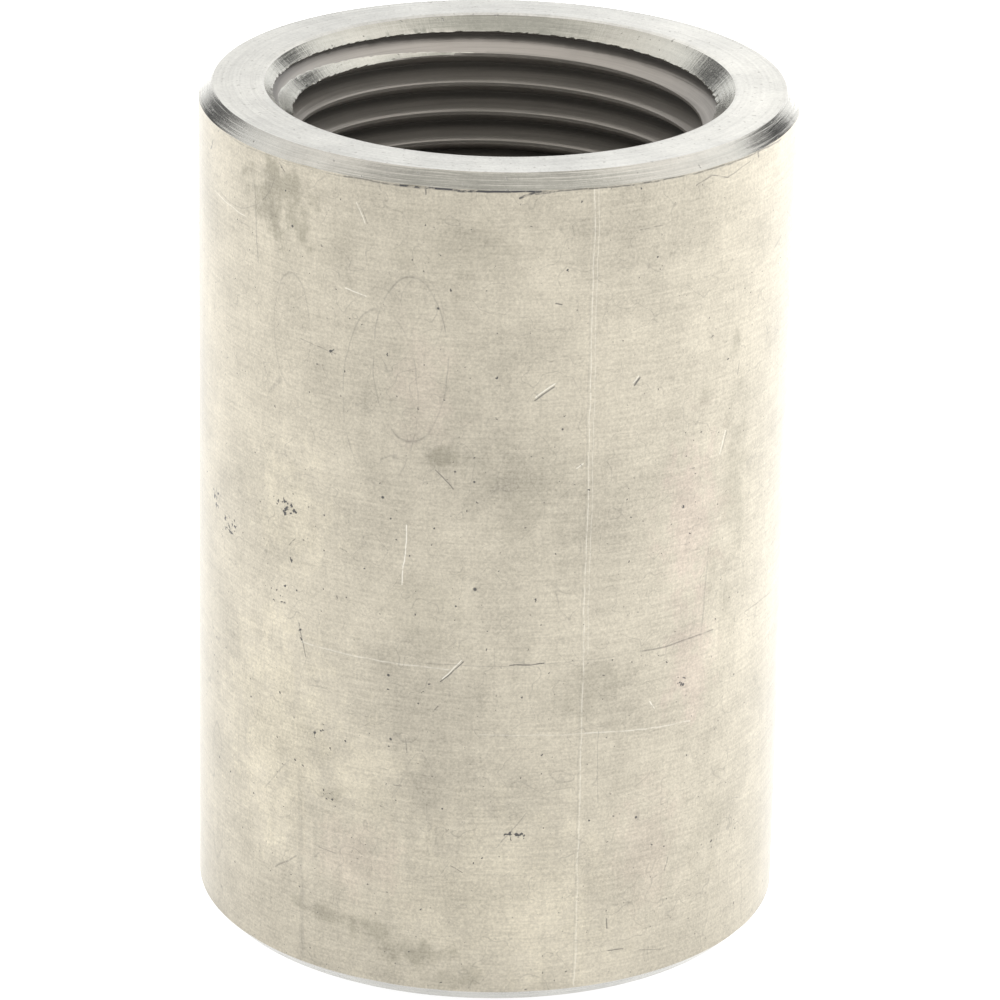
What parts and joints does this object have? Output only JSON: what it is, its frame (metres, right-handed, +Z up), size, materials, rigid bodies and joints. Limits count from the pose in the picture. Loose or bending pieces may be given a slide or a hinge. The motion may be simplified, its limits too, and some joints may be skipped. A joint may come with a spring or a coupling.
{
  "type": "pipe coupling",
  "caption": "Full pipe coupling: a thick turned steel sleeve with an internal taper pipe thread at each end, chamfered edges and countersunk mouths.",
  "frame": {"origin": "centre of the lower end face", "axes": "+Z up along the sleeve's axis; the upper thread opens towards +Z and the lower one towards -Z"},
  "size_m": [0.035, 0.035, 0.051],
  "materials": {
    "stainless_steel": "machined, with fine turning marks, satin on the outside and dull in the threads"
  },
  "bodies": {
    "root": {"coupling_body": "stainless_steel"}
  },
  "joints": []
}
